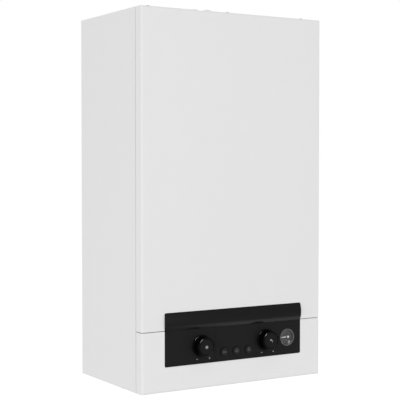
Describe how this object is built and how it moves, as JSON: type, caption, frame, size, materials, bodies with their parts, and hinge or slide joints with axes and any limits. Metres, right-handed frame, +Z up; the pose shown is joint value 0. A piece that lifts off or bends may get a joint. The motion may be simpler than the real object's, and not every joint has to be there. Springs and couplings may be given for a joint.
{
  "type": "combi boiler",
  "caption": "Wall-hung gas combi boiler: white sheet casing, black tilting control panel with knobs, buttons and gauge, fan flue on top, pipe connections below.",
  "frame": {"origin": "on the wall plane, midway between the two hanging slots; the casing's bottom is 640 mm below it", "axes": "+X to the right as one faces the boiler, +Y into the wall, so the front faces -Y, +Z up"},
  "size_m": [0.4, 0.2695, 0.745],
  "materials": {
    "casing": "smooth white powder coat",
    "fascia": "fine white moulding",
    "panel": "fine black moulding",
    "gloss_black": "polished black",
    "knob": "polished black side, matt face",
    "button": "black with a light symbol",
    "tray": "grey moulding",
    "board": "green laminate with parts",
    "gauge": "dark grey with a printed dial",
    "lens": "clear",
    "needle": "white",
    "galvanised": "galvanised sheet",
    "aluminised": "aluminised sheet",
    "screw": "zinc plated",
    "stainless": "stainless",
    "nylon": "natural nylon",
    "foam": "closed-cell seal",
    "fibre": "ceramic fibre board",
    "vessel": "red enamel",
    "copper": "copper",
    "brass": "hot-pressed brass",
    "aluminium": "cast",
    "impeller": "pressed",
    "pump_body": "black paint",
    "pump_motor": "grey paint",
    "black_plastic": "black moulding",
    "spindle": "turned",
    "red_plastic": "red moulding",
    "blue_plastic": "blue moulding"
  },
  "bodies": {
    "casing": {"rear_frame": "galvanised", "frame_rails": "galvanised", "left_side_panel": "casing", "right_side_panel": "casing", "top_panel": "casing", "bottom_panel": "casing", "cable_gland": "tray", "cover_clips": "nylon", "casing_screws": "screw", "blanking_plates": "galvanised", "hinge_brackets": "galvanised", "expansion_vessel": "vessel", "air_box": "galvanised", "chamber_seals": "foam", "air_box_cover": "galvanised", "sight_glass": "lens", "combustion_chamber": "aluminised", "insulation_panels": "fibre", "burner": "aluminised", "gas_manifold": "aluminium", "electrodes": "screw", "heat_exchanger": "copper", "smoke_hood": "aluminised", "fan_housing": "aluminised", "fan_motor": "galvanised", "flue_stub": "aluminium", "pressure_switch": "galvanised", "pipe_connections": "brass", "plate_heat_exchanger": "stainless", "flow_group": "brass", "diverter_motor": "black_plastic", "return_group": "brass", "relief_valve": "brass", "pump_housing": "pump_body", "pump_motor": "pump_motor", "air_vent": "brass", "gas_valve": "aluminium", "pipework": "copper"},
    "front_cover": {"front_cover": "casing", "cover_studs": "screw"},
    "control_box": {"lower_fascia": "fascia", "control_panel": "panel", "display_window": "gloss_black", "grip_bar": "gloss_black", "control_tray": "tray", "tray_lid": "tray", "circuit_boards": "board", "gauge_case": "gauge", "gauge_lens": "lens"},
    "heating_knob": {"heating_knob": "knob"},
    "hot_water_knob": {"hot_water_knob": "knob"},
    "left_button": {"left_button": "button"},
    "middle_button": {"middle_button": "button"},
    "right_button": {"right_button": "button"},
    "gauge_needle": {"gauge_needle": "needle"},
    "fan_impeller": {"fan_impeller": "impeller"},
    "pump_impeller": {"pump_impeller": "black_plastic"},
    "relief_knob": {"relief_knob": "red_plastic"},
    "fill_tap_knob": {"fill_tap_knob": "blue_plastic"},
    "diverter_spindle": {"diverter_spindle": "spindle"}
  },
  "joints": [
    {"name": "front_cover_slide", "type": "slide", "parent": "casing", "child": "front_cover", "axis": [0, -1, 0], "range_m": [0, 0.3]},
    {"name": "control_box_hinge", "type": "hinge", "parent": "casing", "child": "control_box", "pos_m": [0, -0.2325, -0.6355], "axis": [1, 0, 0], "range_deg": [0, 90]},
    {"name": "heating_knob_turn", "type": "hinge", "parent": "control_box", "child": "heating_knob", "pos_m": [-0.0745, -0.25, -0.5605], "axis": [0, 1, 0], "range_deg": [-148, 148]},
    {"name": "hot_water_knob_turn", "type": "hinge", "parent": "control_box", "child": "hot_water_knob", "pos_m": [0.0705, -0.25, -0.5605], "axis": [0, 1, 0], "range_deg": [-148, 148]},
    {"name": "left_button_press", "type": "slide", "parent": "control_box", "child": "left_button", "axis": [0, 1, 0], "range_m": [0, 0.0015], "stiffness_N_per_m": 1500, "springref_m": -0.0007},
    {"name": "middle_button_press", "type": "slide", "parent": "control_box", "child": "middle_button", "axis": [0, 1, 0], "range_m": [0, 0.0015], "stiffness_N_per_m": 1500, "springref_m": -0.0007},
    {"name": "right_button_press", "type": "slide", "parent": "control_box", "child": "right_button", "axis": [0, 1, 0], "range_m": [0, 0.0015], "stiffness_N_per_m": 1500, "springref_m": -0.0007},
    {"name": "gauge_needle_turn", "type": "hinge", "parent": "control_box", "child": "gauge_needle", "pos_m": [0.1215, -0.242, -0.5606], "axis": [0, 1, 0], "range_deg": [-45, 225], "stiffness_Nm_per_rad": 0.0005},
    {"name": "fan_spin", "type": "hinge", "parent": "casing", "child": "fan_impeller", "pos_m": [-0.024, -0.11, -0.018], "axis": [0, -1, 0], "continuous": true},
    {"name": "pump_spin", "type": "hinge", "parent": "casing", "child": "pump_impeller", "pos_m": [0.134, -0.08, -0.464], "axis": [0, -1, 0], "continuous": true},
    {"name": "relief_knob_turn", "type": "hinge", "parent": "casing", "child": "relief_knob", "pos_m": [0.134, -0.13, -0.574], "axis": [0, -1, 0], "range_deg": [0, 90]},
    {"name": "fill_tap_turn", "type": "hinge", "parent": "casing", "child": "fill_tap_knob", "pos_m": [0.1005, -0.102, -0.64], "axis": [0, 0, 1], "range_deg": [0, 90]},
    {"name": "diverter_slide", "type": "slide", "parent": "casing", "child": "diverter_spindle", "axis": [0, 0, -1], "range_m": [0, 0.008]}
  ]
}
